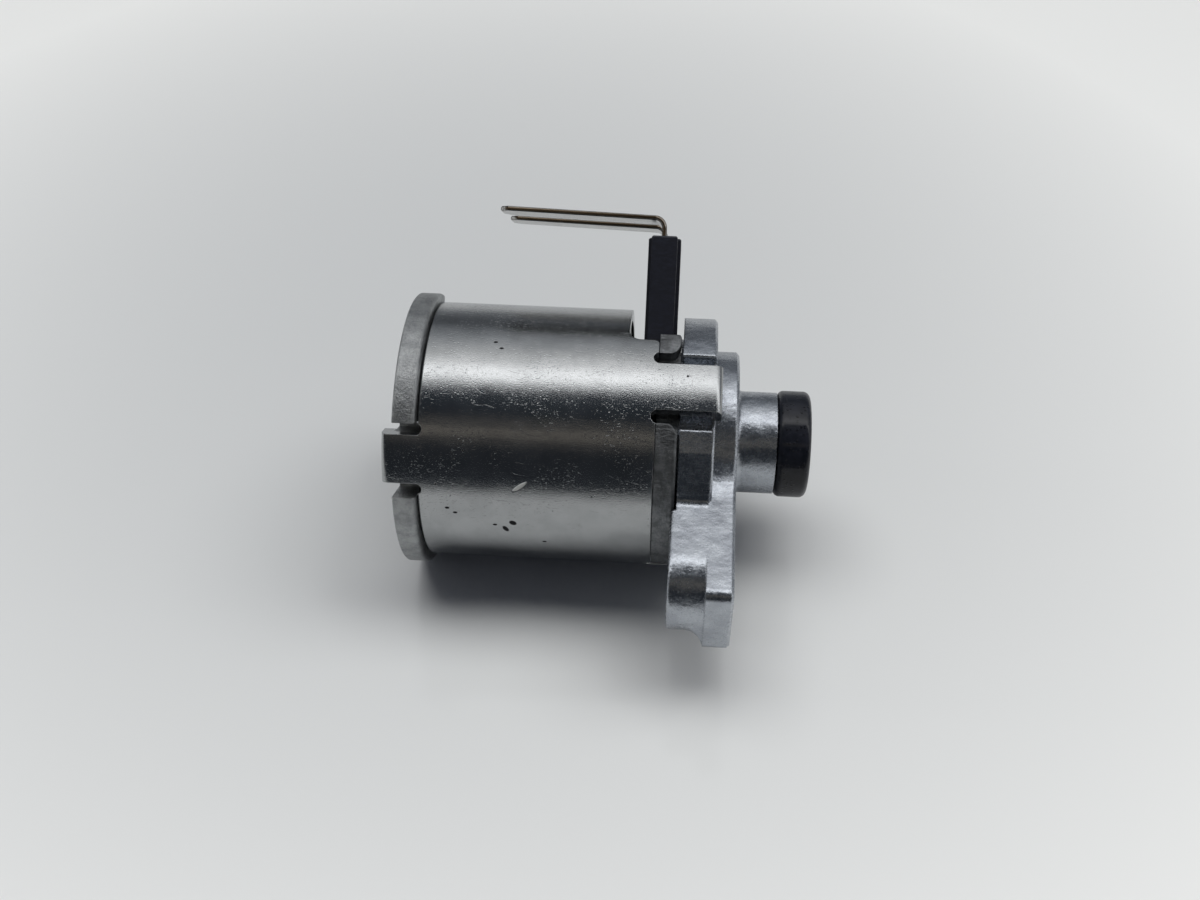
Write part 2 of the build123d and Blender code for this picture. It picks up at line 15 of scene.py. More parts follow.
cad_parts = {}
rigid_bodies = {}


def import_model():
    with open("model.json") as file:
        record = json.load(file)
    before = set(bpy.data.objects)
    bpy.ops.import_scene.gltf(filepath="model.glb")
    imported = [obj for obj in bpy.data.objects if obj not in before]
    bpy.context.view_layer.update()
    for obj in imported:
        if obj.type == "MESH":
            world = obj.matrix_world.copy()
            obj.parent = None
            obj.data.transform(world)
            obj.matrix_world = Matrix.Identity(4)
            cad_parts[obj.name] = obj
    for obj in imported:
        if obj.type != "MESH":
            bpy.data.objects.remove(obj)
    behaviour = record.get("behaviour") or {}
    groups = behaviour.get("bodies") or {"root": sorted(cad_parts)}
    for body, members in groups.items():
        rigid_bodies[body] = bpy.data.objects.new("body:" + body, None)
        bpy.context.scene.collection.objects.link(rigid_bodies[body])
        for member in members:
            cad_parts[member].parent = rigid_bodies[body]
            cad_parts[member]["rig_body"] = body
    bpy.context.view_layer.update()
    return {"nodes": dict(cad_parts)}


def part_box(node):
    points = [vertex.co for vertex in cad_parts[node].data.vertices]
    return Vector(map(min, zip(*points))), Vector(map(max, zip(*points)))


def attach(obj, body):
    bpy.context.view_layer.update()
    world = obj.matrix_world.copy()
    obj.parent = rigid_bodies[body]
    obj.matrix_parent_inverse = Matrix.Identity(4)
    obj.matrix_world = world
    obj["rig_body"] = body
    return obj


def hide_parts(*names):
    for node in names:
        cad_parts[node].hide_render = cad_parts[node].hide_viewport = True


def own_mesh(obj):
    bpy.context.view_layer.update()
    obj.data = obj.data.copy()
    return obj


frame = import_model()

nodes = frame["nodes"]
MM = 0.001

# %% [markdown]
# ## Directions round the valve
# The valve's axis is X. A direction round it is easiest to think of as an angle: 0 points to the
# front (-Y) and 90 points up. One small helper turns such an angle into a vector, and it is used
# for the light, the reflections and the places of marks on the can.

# %% A direction round the axis
def outwards(angle):
    """Unit vector away from the axis, at an angle in degrees from the front towards the top."""
    return Vector((0.0, -cos(radians(angle)), sin(radians(angle))))


print("the terminal post points to", tuple(round(c, 2) for c in outwards(132)))

# %% [markdown]
# ## The camera
# A long-ish lens from a hand's width and a half away, looking down at 44 degrees. The camera could
# be aimed with a constraint, but three plain vectors (place, view direction, up) say exactly where
# it is and which way it is rolled, and nothing moves it afterwards.

# %% Camera
LENS_MM = 42.0
SENSOR_MM = 36.0
camera_place = Vector((-6.286, -111.113, 108.810)) * MM
camera_view = Vector((-0.05478, 0.70591, -0.70618)).normalized()
camera_up = Vector((-0.04748, 0.70460, 0.70801))

camera_data = bpy.data.cameras.new("camera")
camera_data.lens = LENS_MM
camera_data.sensor_width = SENSOR_MM
camera_data.clip_start = 1 * MM
camera = bpy.data.objects.new("camera", camera_data)
bpy.context.scene.collection.objects.link(camera)
camera_side = camera_view.cross(camera_up).normalized()
camera_top = camera_side.cross(camera_view)
turn = Matrix((camera_side, camera_top, -camera_view)).transposed()
camera.matrix_world = Matrix.Translation(camera_place) @ turn.to_4x4()
bpy.context.scene.camera = camera
print("camera is", round(camera_place.length / MM), "mm from the origin")

# %% [markdown]
# ## Building finishes from nodes
# A finish here is a material whose detail is computed from the position on the piece, so it needs
# no pictures and no unwrapping. Writing every node and link by hand gets long, so a small class
# keeps one material's tree and gives short calls: `number` for arithmetic, `noise` for natural
# variation, `ramp` to pick where something starts and stops, and `bump` to raise the surface.

# %% A class that builds one finish
class Finish:
    """One material, built node by node round its Principled shader."""

    def __init__(self, name, color, metallic, roughness, **sockets):
        self.material = bpy.data.materials.new(name)
        self.material.use_nodes = True
        self.tree = self.material.node_tree
        self.shader = self.tree.nodes["Principled BSDF"]
        self.shader.inputs["Base Color"].default_value = (*color, 1.0)
        self.shader.inputs["Metallic"].default_value = metallic
        self.shader.inputs["Roughness"].default_value = roughness
        for socket, value in sockets.items():
            self.shader.inputs[socket.replace("_", " ")].default_value = value
        self.normal = None

    def node(self, kind, inputs=(), **settings):
        made = self.tree.nodes.new("ShaderNode" + kind)
        for setting, value in settings.items():
            setattr(made, setting, value)
        for place, value in enumerate(inputs):
            self.feed(made.inputs[place], value)
        return made

    def feed(self, socket, value):
        """Gives a socket a plain value, or the output of another node."""
        if value is None:
            return
        if isinstance(value, bpy.types.NodeSocket):
            self.tree.links.new(value, socket)
        else:
            socket.default_value = value

    def number(self, operation, first, second=None, third=None):
        return self.node("Math", (first, second, third), operation=operation).outputs[0]

    def vector(self, operation, first, second=None):
        return self.node("VectorMath", (first, second), operation=operation).outputs[0]

    def scaled(self, vector, amounts):
        """The vector with each of its parts multiplied."""
        return self.vector("MULTIPLY", vector, amounts)

    def noise(self, where, scale, detail=2.0, roughness=0.5):
        made = self.node("TexNoise")
        self.feed(made.inputs["Vector"], where)
        made.inputs["Scale"].default_value = scale
        made.inputs["Detail"].default_value = detail
        made.inputs["Roughness"].default_value = roughness
        return made.outputs["Fac"]

    def cells(self, where, scale, randomness=1.0):
        """Distance from scattered points, and a random grey for each point."""
        made = self.node("TexVoronoi")
        self.feed(made.inputs["Vector"], where)
        made.inputs["Scale"].default_value = scale
        made.inputs["Randomness"].default_value = randomness
        grey = self.node("SeparateColor", (made.outputs["Color"],)).outputs[0]
        return made.outputs["Distance"], grey

    def ramp(self, value, low, high, at_low=0.0, at_high=1.0):
        """Goes smoothly from at_low to at_high as the value goes from low to high."""
        made = self.node("MapRange", (value, low, high, at_low, at_high))
        made.interpolation_type = "SMOOTHSTEP"
        return made.outputs[0]

    def blend(self, factor, first, second):
        """A colour between two colours."""
        made = self.node("Mix", data_type="RGBA")
        self.feed(made.inputs["Factor"], factor)
        for socket, value in ((made.inputs[6], first), (made.inputs[7], second)):
            self.feed(socket, (*value, 1.0) if isinstance(value, tuple) else value)
        return made.outputs[2]

    def bump(self, height, depth_mm, strength=1.0):
        """Adds relief, on top of the relief that the finish already has."""
        made = self.node("Bump")
        made.inputs["Strength"].default_value = strength
        made.inputs["Distance"].default_value = depth_mm * MM
        self.feed(made.inputs["Height"], height)
        self.feed(made.inputs["Normal"], self.normal)
        self.normal = made.outputs["Normal"]

    def soft_edges(self, radius_mm):
        """Rounds the look of sharp edges, as tumbling and handling do."""
        made = self.node("Bevel", samples=6)
        made.inputs["Radius"].default_value = radius_mm * MM
        self.normal = made.outputs["Normal"]

    def place_mm(self):
        """Position on the piece, in millimetres."""
        where = self.node("TexCoord").outputs["Object"]
        return self.scaled(where, (1 / MM, 1 / MM, 1 / MM))

    def color_from(self, value):
        self.feed(self.shader.inputs["Base Color"], value)

    def roughness_from(self, value):
        self.feed(self.shader.inputs["Roughness"], value)

    def done(self):
        self.feed(self.shader.inputs["Normal"], self.normal)
        return self.material


def dress(material, *names):
    """Gives CAD nodes a finish."""
    for name in names:
        nodes[name].data.materials.clear()
        nodes[name].data.materials.append(material)
    print(material.name, "on", ", ".join(names))


# %% [markdown]
# ## Unrolling the can
# Marks on a round can are easier to lay out on the flat sheet that it was rolled from. The helper
# below turns a position into sheet coordinates: along the axis, and round the can as an arc
# length. The seam of that sheet is kept at the bottom, where nobody looks.

# %% Sheet coordinates for round pieces
CAN_RADIUS_MM = 14.0


def unrolled(finish):
    """(along the axis, round the can, distance from the axis), all in millimetres."""
    parts = finish.node("SeparateXYZ", (finish.place_mm(),)).outputs
    angle = finish.number("ARCTAN2", parts[1], parts[2])
    arc = finish.number("MULTIPLY", angle, CAN_RADIUS_MM)
    square = finish.number("MULTIPLY", parts[1], parts[1])
    square = finish.number("MULTIPLY_ADD", parts[2], parts[2], square)
    radius = finish.number("SQRT", square)
    return finish.node("CombineXYZ", (parts[0], arc, radius)).outputs[0]


def sheet_place(x_mm, angle):
    """Where a point of the can lies on the unrolled sheet."""
    return (x_mm, radians(angle - 90.0) * CAN_RADIUS_MM, CAN_RADIUS_MM)


def mark(finish, sheet, x_mm, angle, length, width, turn=0.0):
    """1 inside a small oval mark on the sheet, fading to 0 at its rim."""
    away = finish.vector("SUBTRACT", sheet, sheet_place(x_mm, angle))
    turned = finish.node("VectorRotate", (away,), rotation_type="Z_AXIS")
    turned.inputs["Angle"].default_value = radians(turn)
    away = finish.scaled(turned.outputs[0], (2 / length, 2 / width, 0.0))
    far = finish.node("VectorMath", (away,), operation="LENGTH").outputs["Value"]
    return finish.ramp(far, 1.15, 0.75)


print("the top of the can is at", sheet_place(0, 90), "on the sheet")

# %% [markdown]
# ## The steel can
# The can is drawn from bright plated sheet. Drawing leaves very fine lines round it, handling
# leaves small dents that catch the overhead light, and oil leaves a few dark specks. A gouge from
# a tool crosses the front; its bright colour is partly torn metal and partly a painted highlight.
# Besides the specks and the gouge's colour, all of it is relief and roughness over one grey metal.
# A darker metal colour than polished steel is right, because the plating is dull: it gives back
# about a third of the light that falls on it.

# %% Finish of the can
def can_steel():
    steel = Finish("can_steel", (0.355, 0.365, 0.37), 1.0, 0.16)
    sheet = unrolled(steel)
    steel.soft_edges(0.12)
    # drawing lines round the can, and a faint unevenness of the sheet
    lines = steel.noise(steel.scaled(sheet, (9.0, 0.12, 0.0)), 1.0, 3.0, 0.65)
    steel.bump(lines, 0.005, 0.5)
    swell = steel.noise(steel.scaled(sheet, (0.35, 0.5, 0.0)), 1.0, 2.0)
    steel.bump(swell, 0.022, 0.5)
    # small dents, more of them where the can has rubbed
    rubbed = steel.ramp(steel.noise(sheet, 0.22, 2.0), 0.35, 0.62)
    distance, chance = steel.cells(sheet, 3.4)
    dents = steel.number("MULTIPLY", steel.ramp(distance, 0.34, 0.08), steel.ramp(chance, 0.62, 0.7))
    dents = steel.number("MULTIPLY", dents, steel.number("MULTIPLY_ADD", rubbed, 0.55, 0.45))
    steel.bump(dents, -0.016, 0.9)
    grain = steel.noise(steel.scaled(sheet, (4.6, 7.0, 0.0)), 1.0, 4.0, 0.8)
    steel.bump(grain, 0.015, 0.9)
    # nicks: short dashes in two directions
    for stretch in ((1.6, 9.0, 0.0), (8.5, 2.0, 0.0)):
        nicks = steel.ramp(steel.noise(steel.scaled(sheet, stretch), 1.0, 2.0, 0.6), 0.63, 0.73)
        steel.bump(steel.number("MULTIPLY", nicks, rubbed), -0.012, 0.8)
    # long thin scratches, broken up so that none runs far
    bent = steel.noise(sheet, 0.35, 2.0)
    across = steel.node("SeparateXYZ", (sheet,)).outputs
    slant = steel.number("MULTIPLY_ADD", across[0], 0.28, across[1])
    slant = steel.number("MULTIPLY_ADD", bent, 2.0, slant)
    comb = steel.number("SINE", steel.number("MULTIPLY", slant, 4.1))
    broken = steel.ramp(steel.noise(steel.scaled(sheet, (0.25, 1.3, 0.0)), 1.0, 3.0), 0.56, 0.62)
    scratches = steel.number("MULTIPLY", steel.ramp(comb, 0.985, 1.0), broken)
    steel.bump(scratches, -0.006, 0.8)
    # the gouge: a shallow cut, coloured bright; the colour is partly torn metal and partly a painted
    # highlight
    gouge_and_painted_highlight = mark(steel, sheet, -22.2, 20.3, 1.8, 0.45, -37.0)
    steel.bump(gouge_and_painted_highlight, -0.03, 1.0)
    # specks: two large ones, a few small ones, and scattered tiny ones
    large_specks = ((-23.0, 1.2, 0.85, 0.65, 30.0), (-23.8, -2.8, 1.0, 0.55, 60.0))
    small_specks = ((-24.9, -0.4), (-29.0, 5.8), (-29.8, 8.2), (-19.8, -11.0), (-25.6, 85.3), (-24.9, 81.9))
    stains = None
    for x, angle, length, width, tilt in large_specks:
        stain = mark(steel, sheet, x, angle, length, width, tilt)
        stains = stain if stains is None else steel.number("MAXIMUM", stains, stain)
    for x, angle in small_specks:
        stains = steel.number("MAXIMUM", stains, mark(steel, sheet, x, angle, 0.5, 0.28))
    distance, chance = steel.cells(sheet, 0.75)
    scattered = steel.number("MULTIPLY", steel.ramp(distance, 0.12, 0.05), steel.ramp(chance, 0.8, 0.84))
    stains = steel.number("MAXIMUM", stains, scattered)
    steel.bump(stains, -0.02, 0.7)
    cloud = steel.noise(sheet, 0.3, 3.0, 0.6)
    metal = steel.blend(steel.ramp(cloud, 0.3, 0.7), (0.33, 0.34, 0.345), (0.385, 0.395, 0.40))
    # painted highlight: the gouge is coloured near white, partly for its torn metal and partly as painted
    # light
    metal = steel.blend(gouge_and_painted_highlight, metal, (0.75, 0.75, 0.73))
    steel.color_from(steel.blend(stains, metal, (0.02, 0.02, 0.022)))
    dull = steel.ramp(cloud, 0.35, 0.7, 0.115, 0.155)
    dull = steel.number("MULTIPLY_ADD", rubbed, 0.03, dull)
    dull = steel.number("MULTIPLY_ADD", gouge_and_painted_highlight, 0.4, dull)
    steel.roughness_from(steel.number("MULTIPLY_ADD", stains, 0.4, dull))
    return steel.done()


dress(can_steel(), "yoke_can")

# %% [markdown]
# ## The end plates
# Both plates are punched from thick strip. A punch cuts the first part of the edge smooth and
# tears the rest, so the rim is coarse and grainy while the faces stay flat. The rear plate is
# lighter, and the front one has darkened and shows short marks along its thickness.

# %% Finish of the plates
def punched_steel(name, dark, light, grain_mm, coarse, streaks):
    """Sheared steel: a grainy rim with marks that run through the thickness."""
    steel = Finish(name, light, 1.0, 0.42)
    sheet = unrolled(steel)
    steel.soft_edges(0.15)
    facing = steel.node("SeparateXYZ", (steel.node("NewGeometry").outputs["Normal"],)).outputs[0]
    rim = steel.ramp(steel.number("ABSOLUTE", facing), 0.9, 0.6)
    marks = steel.noise(steel.scaled(sheet, (0.5, 2.4, 0.0)), 1.0, 4.0, 0.7)
    steel.bump(steel.number("MULTIPLY", marks, rim), streaks, 0.8)
    where = steel.place_mm()
    rough = steel.noise(where, 1 / grain_mm, 3.0, 0.7)
    depth = steel.number("MULTIPLY_ADD", rim, 0.75, 0.25)
    steel.bump(steel.number("MULTIPLY", rough, depth), coarse, 0.9)
    tone = steel.noise(where, 0.6, 4.0, 0.7)
    steel.color_from(steel.blend(steel.ramp(tone, 0.3, 0.7), dark, light))
    steel.roughness_from(steel.ramp(rough, 0.3, 0.7, 0.34, 0.52))
    return steel.done()


rear_steel = punched_steel("plate_steel_rear", (0.25, 0.26, 0.265), (0.40, 0.41, 0.415), 0.26, 0.09, 0.02)
front_steel = punched_steel("plate_steel_front", (0.13, 0.135, 0.14), (0.29, 0.30, 0.31), 0.26, 0.07, 0.12)
dress(rear_steel, "rear_plate")
dress(front_steel, "front_plate")

# %% [markdown]
# ## The die-cast flange
# Aluminium pressed into a steel die takes the die's own surface: bright and nearly smooth, with a
# soft orange-peel swell, faint flow lines, and edges that shine where they have rubbed. The metal
# is slightly blue next to the steel. Two scales of relief do it: a slow one for the swell and a
# fine one for the grain, with the roughness following the grain.

# %% Finish of the flange
def cast_aluminium():
    cast = Finish("cast_aluminium", (0.38, 0.40, 0.43), 1.0, 0.27)
    where = cast.place_mm()
    cast.soft_edges(0.22)
    swell = cast.noise(where, 0.55, 2.0, 0.5)
    cast.bump(swell, 0.16, 0.7)
    flow = cast.noise(cast.scaled(where, (1.4, 2.2, 2.2)), 1.0, 4.0, 0.65)
    cast.bump(flow, 0.022, 0.6)
    pits = cast.ramp(cast.noise(where, 4.5, 2.0, 0.6), 0.64, 0.76)
    cast.bump(pits, -0.012, 0.7)
    grain = cast.noise(where, 4.0, 3.0, 0.75)
    cast.bump(grain, 0.036, 0.8)
    tone = cast.ramp(cast.noise(where, 0.45, 3.0), 0.3, 0.7)
    metal = cast.blend(tone, (0.345, 0.365, 0.40), (0.42, 0.445, 0.48))
    cast.color_from(cast.blend(pits, metal, (0.28, 0.30, 0.33)))
    cast.roughness_from(cast.ramp(flow, 0.3, 0.7, 0.2, 0.31))
    return cast.done()


dress(cast_aluminium(), "flange_body")

# %% [markdown]
# ## The plastic post and bobbin
# One moulding carries the winding inside the can and the terminals outside. It is nylon filled
# with glass, nearly black with a blue cast, and the glass shows as a fine grain that breaks up the
# gloss. A plain dark colour would look like a hole in the picture, so the relief matters here.

# %% Finish of the moulding
def filled_nylon(name, color, roughness):
    nylon = Finish(name, color, 0.0, roughness, IOR=1.53)
    where = nylon.place_mm()
    nylon.soft_edges(0.12)
    fibres = nylon.noise(nylon.scaled(where, (1.6, 5.0, 5.0)), 1.0, 3.0, 0.6)
    nylon.bump(fibres, 0.012, 0.6)
    grain = nylon.noise(where, 14.0, 2.0)
    nylon.bump(grain, 0.004, 0.7)
    paler = tuple(part * 1.8 for part in color)
    nylon.color_from(nylon.blend(nylon.ramp(fibres, 0.4, 0.75), color, paler))
    nylon.roughness_from(nylon.ramp(fibres, 0.3, 0.7, roughness - 0.06, roughness + 0.08))
    return nylon.done()


dress(filled_nylon("post_plastic", (0.007, 0.008, 0.013), 0.38), "bobbin")
dress(filled_nylon("spacer_plastic", (0.03, 0.03, 0.03), 0.5), "spacer_ring")

# %% [markdown]
# ## The seal
# The seal is black rubber that came out of oil, so it has a sharp gloss over a dark matt body,
# with small wet beads that glint. A clear coat over a rough base gives both at once.

# %% Finish of the rubber
def oiled_rubber():
    gloss = {"Specular_IOR_Level": 0.15, "Coat_Weight": 0.35, "Coat_Roughness": 0.05}
    rubber = Finish("seal_rubber", (0.008, 0.009, 0.012), 0.0, 0.38, **gloss)
    where = rubber.place_mm()
    flow = rubber.noise(where, 0.9, 3.0, 0.6)
    rubber.bump(flow, 0.05, 0.6)
    distance, chance = rubber.cells(where, 2.6)
    beads = rubber.number("MULTIPLY", rubber.ramp(distance, 0.4, 0.1), rubber.ramp(chance, 0.55, 0.62))
    rubber.bump(beads, 0.2, 1.0)
    wetness = rubber.ramp(flow, 0.35, 0.7)
    rubber.color_from(rubber.blend(wetness, (0.004, 0.005, 0.008), (0.010, 0.011, 0.016)))
    return rubber.done()


dress(oiled_rubber(), "nose_seal", "pole_oring")

# %% [markdown]
# ## Turned, ground and rolled pieces
# The pieces on the axis are turned on a lathe, so their tool marks run round the X axis and
# repeat along it. One function makes them all: only the colour, the gloss and the depth of the
# marks change from soft iron to brass to hardened steel.

# %% Finish of the turned pieces
def turned_metal(name, color, roughness, marks_mm):
    metal = Finish(name, color, 1.0, roughness)
    sheet = unrolled(metal)
    metal.soft_edges(0.08)
    rings = metal.noise(metal.scaled(sheet, (14.0, 0.05, 9.0)), 1.0, 2.0, 0.6)
    metal.bump(rings, marks_mm, 0.7)
    handling = metal.noise(metal.place_mm(), 3.0, 3.0, 0.6)
    metal.bump(handling, marks_mm * 0.6, 0.5)
    darker = tuple(part * 0.82 for part in color)
    metal.color_from(metal.blend(metal.ramp(handling, 0.35, 0.7), color, darker))
    metal.roughness_from(metal.ramp(rings, 0.3, 0.7, roughness * 0.8, roughness * 1.25))
    return metal.done()


dress(turned_metal("magnet_iron", (0.40, 0.40, 0.40), 0.32, 0.010), "plunger", "pole_core")
dress(turned_metal("stop_steel", (0.45, 0.45, 0.44), 0.34, 0.014), "rear_stop")
dress(turned_metal("hard_steel", (0.58, 0.58, 0.60), 0.10, 0.001), "push_pin", "valve_ball", "valve_seat")
dress(turned_metal("plug_metal", (0.46, 0.46, 0.45), 0.28, 0.010), "nose_plug")
dress(turned_metal("sleeve_metal", (0.66, 0.50, 0.24), 0.25, 0.003), "guide_sleeve")
dress(turned_metal("shim_metal", (0.70, 0.54, 0.25), 0.22, 0.002), "gap_shim")
dress(turned_metal("bronze", (0.48, 0.31, 0.15), 0.4, 0.006), "pin_bush")

# %% [markdown]
# ## The blade terminals
# Each terminal is punched from tinned brass strip and bent back over the can. In the frame it has
# knife-sharp edges. Real strip has edges rounded by the punch and the tinning, and here they catch
# the light along the whole blade, so this piece is remade: the frame's mesh is copied, its flat
# areas are dissolved back to single faces, and every sharp edge gets a small real bevel.

# %% Rounding the edges of a copy
import bmesh


def smooth_piece(name, mesh, shape):
    """Writes a shape to a mesh, shaded smooth, and puts it in the scene as an object."""
    for face in shape.faces:
        face.smooth = True
    shape.to_mesh(mesh)
    shape.free()
    made = bpy.data.objects.new(name, mesh)
    bpy.context.scene.collection.objects.link(made)
    return made


def rounded_copy(node, name, radius_mm, segments=2):
    """A copy of a node's mesh with its sharp edges rounded, standing in for the node."""
    mesh = nodes[node].data.copy()
    shape = bmesh.new()
    shape.from_mesh(mesh)
    bmesh.ops.remove_doubles(shape, verts=shape.verts, dist=0.0005 * MM)
    bmesh.ops.dissolve_limit(shape, angle_limit=radians(0.6), verts=shape.verts, edges=shape.edges)
    sharp = [edge for edge in shape.edges if edge.calc_face_angle(0.0) > radians(35)]
    bmesh.ops.bevel(
        shape, geom=sharp, offset=radius_mm * MM, segments=segments, affect="EDGES", clamp_overlap=True
    )
    bmesh.ops.triangulate(shape, faces=[face for face in shape.faces if len(face.verts) > 4])
    made = smooth_piece(name, mesh, shape)
    mesh.set_sharp_from_angle(angle=radians(40))
    flat_faces = made.modifiers.new("flat faces stay flat", "WEIGHTED_NORMAL")
    flat_faces.weight = 100
    flat_faces.keep_sharp = True
    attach(made, nodes[node]["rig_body"])
    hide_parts(node)
    return made


# %% [markdown]
# Tin is bright and soft. The blade's cut edges show the darker metal under the tin, and the sides
# have rubbing marks along the length. The cut edges are found from the direction that the surface
# faces, compared with the direction across the blade.

# %% Finish and pieces of the terminals
POST_ANGLE = 132.0
across_blade = Vector((1, 0, 0)).cross(outwards(POST_ANGLE))


def tinned_strip():
    tin = Finish("terminal_metal", (0.42, 0.42, 0.41), 1.0, 0.22)
    where = tin.place_mm()
    rubs = tin.noise(tin.scaled(where, (0.4, 6.0, 6.0)), 1.0, 3.0, 0.6)
    tin.bump(rubs, 0.006, 0.7)
    facing = tin.node("NewGeometry").outputs["Normal"]
    sideways = tin.node("VectorMath", (facing, tuple(across_blade)), operation="DOT_PRODUCT").outputs["Value"]
    cut = tin.ramp(tin.number("ABSOLUTE", sideways), 0.7, 0.95)
    worn = tin.blend(tin.ramp(rubs, 0.35, 0.7), (0.44, 0.44, 0.43), (0.34, 0.33, 0.31))
    tin.color_from(tin.blend(cut, worn, (0.15, 0.11, 0.07)))
    tin.roughness_from(tin.number("MULTIPLY_ADD", cut, 0.2, tin.ramp(rubs, 0.3, 0.7, 0.18, 0.28)))
    return tin.done()


tin = tinned_strip()
for node in ("terminal_near", "terminal_far"):
    blade = rounded_copy(node, node + "_strip", 0.1)
    blade.data.materials.clear()
    blade.data.materials.append(tin)
    print(blade.name, len(blade.data.polygons), "faces")

# %% [markdown]
# ## Springs
# The frame's springs are plain helices, which is enough to show where they are. A real compression
# spring has closed ends, where the pitch drops to the wire's own thickness, and each end is ground
# flat to sit square. A tube is swept along that path point by point, which a curve object could
# also do.

# %% Winding a spring
STEPS_PER_TURN = 32
WIRE_SIDES = 12
GROUND_SEAT = 0.55   # from the ground end to the wire's centre, in wire radii
CLOSED_PITCH = 0.8   # rise of a closed turn, in wire diameters
CLOSED_SUM = 0.75    # mean rise of an end turn, taken off the open part, in wire diameters
OPENING_AT = 0.75    # where the pitch starts to grow, in closed turns
OPENING_OVER = 0.5   # how long it grows, in closed turns


def spring_path(x_start, x_end, radius, wire, turns, closed=1.0):
    """Points and directions along a spring's wire, with closed turns at both ends."""
    total = turns + 2 * closed
    steps = int(total * STEPS_PER_TURN)
    open_rise = (x_end - x_start - 2 * wire - 2 * closed * 2 * wire * CLOSED_SUM) / turns
    points = []
    x = x_start + wire * GROUND_SEAT
    for step in range(steps + 1):
        done = step / STEPS_PER_TURN
        angle = 2 * pi * done
        points.append(Vector((x, radius * cos(angle), radius * sin(angle))))
        from_end = min(done, total - done)
        open_share = min(max((from_end - closed * OPENING_AT) / (closed * OPENING_OVER), 0.0), 1.0)
        rise = open_rise * open_share + 2 * wire * CLOSED_PITCH * (1 - open_share)
        x += rise / STEPS_PER_TURN
    # the rounding of the sum is spread over the whole length
    stretch = (x_end - wire * GROUND_SEAT - points[0].x) / (points[-1].x - points[0].x)
    for point in points:
        point.x = points[0].x + (point.x - points[0].x) * stretch
    return points


def skin(shape, rings, next_rings):
    """Joins each ring of points to its next one with four-sided faces."""
    for ring, other in zip(rings, next_rings):
        for corner in range(len(ring)):
            follow = (corner + 1) % len(ring)
            shape.faces.new((ring[corner], ring[follow], other[follow], other[corner]))


def wire_tube(name, points, wire, flat_low, flat_high):
    """A closed tube along the points, ground flat at both ends."""
    mesh = bpy.data.meshes.new(name)
    shape = bmesh.new()
    rings = []
    for place, point in enumerate(points):
        before = points[max(place - 1, 0)]
        after = points[min(place + 1, len(points) - 1)]
        along = (after - before).normalized()
        out = Vector((0, point.y, point.z)).normalized()
        side = along.cross(out).normalized()
        out = side.cross(along)
        ring = []
        for corner in range(WIRE_SIDES):
            angle = 2 * pi * corner / WIRE_SIDES
            spot = point + (out * cos(angle) + side * sin(angle)) * wire
            spot.x = min(max(spot.x, flat_low), flat_high)
            ring.append(shape.verts.new(spot * MM))
        rings.append(ring)
    skin(shape, rings, rings[1:])
    shape.faces.new(rings[0])
    shape.faces.new(reversed(rings[-1]))
    bmesh.ops.recalc_face_normals(shape, faces=shape.faces)
    return smooth_piece(name, mesh, shape)


# %% [markdown]
# Drawn wire is bright with faint lines along it. The two springs take their length and radius from
# the frame's own boxes.

# %% The two springs
spring_steel = turned_metal("spring_wire", (0.42, 0.42, 0.43), 0.26, 0.004)


def fit_spring(node, name, wire, turns):
    """Winds a spring into a node's box."""
    low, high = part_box(node)
    x_low, x_high = low.x / MM, high.x / MM
    radius = high.y / MM - wire
    points = spring_path(x_low, x_high, radius, wire, turns)
    spring = wire_tube(name, points, wire, x_low, x_high)
    spring.data.materials.append(spring_steel)
    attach(spring, nodes[node]["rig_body"])
    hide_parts(node)
    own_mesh(spring)


fit_spring("return_spring", "return_spring_wire", 0.2, 5)
fit_spring("ball_spring", "ball_spring_wire", 0.14, 2)

# %% [markdown]
# ## The winding
# A solid copper ring would show flat sides through the window. The real one is enamelled wire laid
# turn beside turn, so its outline is a row of small round humps. A profile with one hump for each
# turn is spun round the axis: far fewer faces than hundreds of separate loops, and the same look.

# %% Winding
WIRE_MM = 0.42
SPIN_SEGMENTS = 96
HUMP_POINTS = 5
HUMP_START = 0.12    # each hump leaves out this share of its half circle on both sides
WINDING_INNER = 5.9


def spun_ring(name, profile):
    """Spins a closed profile of (x, radius) points, in millimetres, round the axis."""
    mesh = bpy.data.meshes.new(name)
    shape = bmesh.new()
    rings = []
    for segment in range(SPIN_SEGMENTS):
        angle = 2 * pi * segment / SPIN_SEGMENTS
        ring = [
            shape.verts.new(Vector((x, radius * cos(angle), radius * sin(angle))) * MM)
            for x, radius in profile
        ]
        rings.append(ring)
    skin(shape, rings, rings[1:] + rings[:1])
    bmesh.ops.recalc_face_normals(shape, faces=shape.faces)
    made = smooth_piece(name, mesh, shape)
    mesh.set_sharp_from_angle(angle=radians(50))
    return made


def enamelled_copper():
    copper = Finish("copper_wire", (0.62, 0.22, 0.08), 1.0, 0.25, Coat_Weight=0.6, Coat_Roughness=0.12)
    where = copper.place_mm()
    uneven = copper.noise(where, 1.4, 3.0)
    copper.color_from(copper.blend(copper.ramp(uneven, 0.35, 0.7), (0.66, 0.25, 0.09), (0.45, 0.13, 0.05)))
    copper.bump(copper.noise(where, 9.0, 2.0), 0.004, 0.6)
    return copper.done()


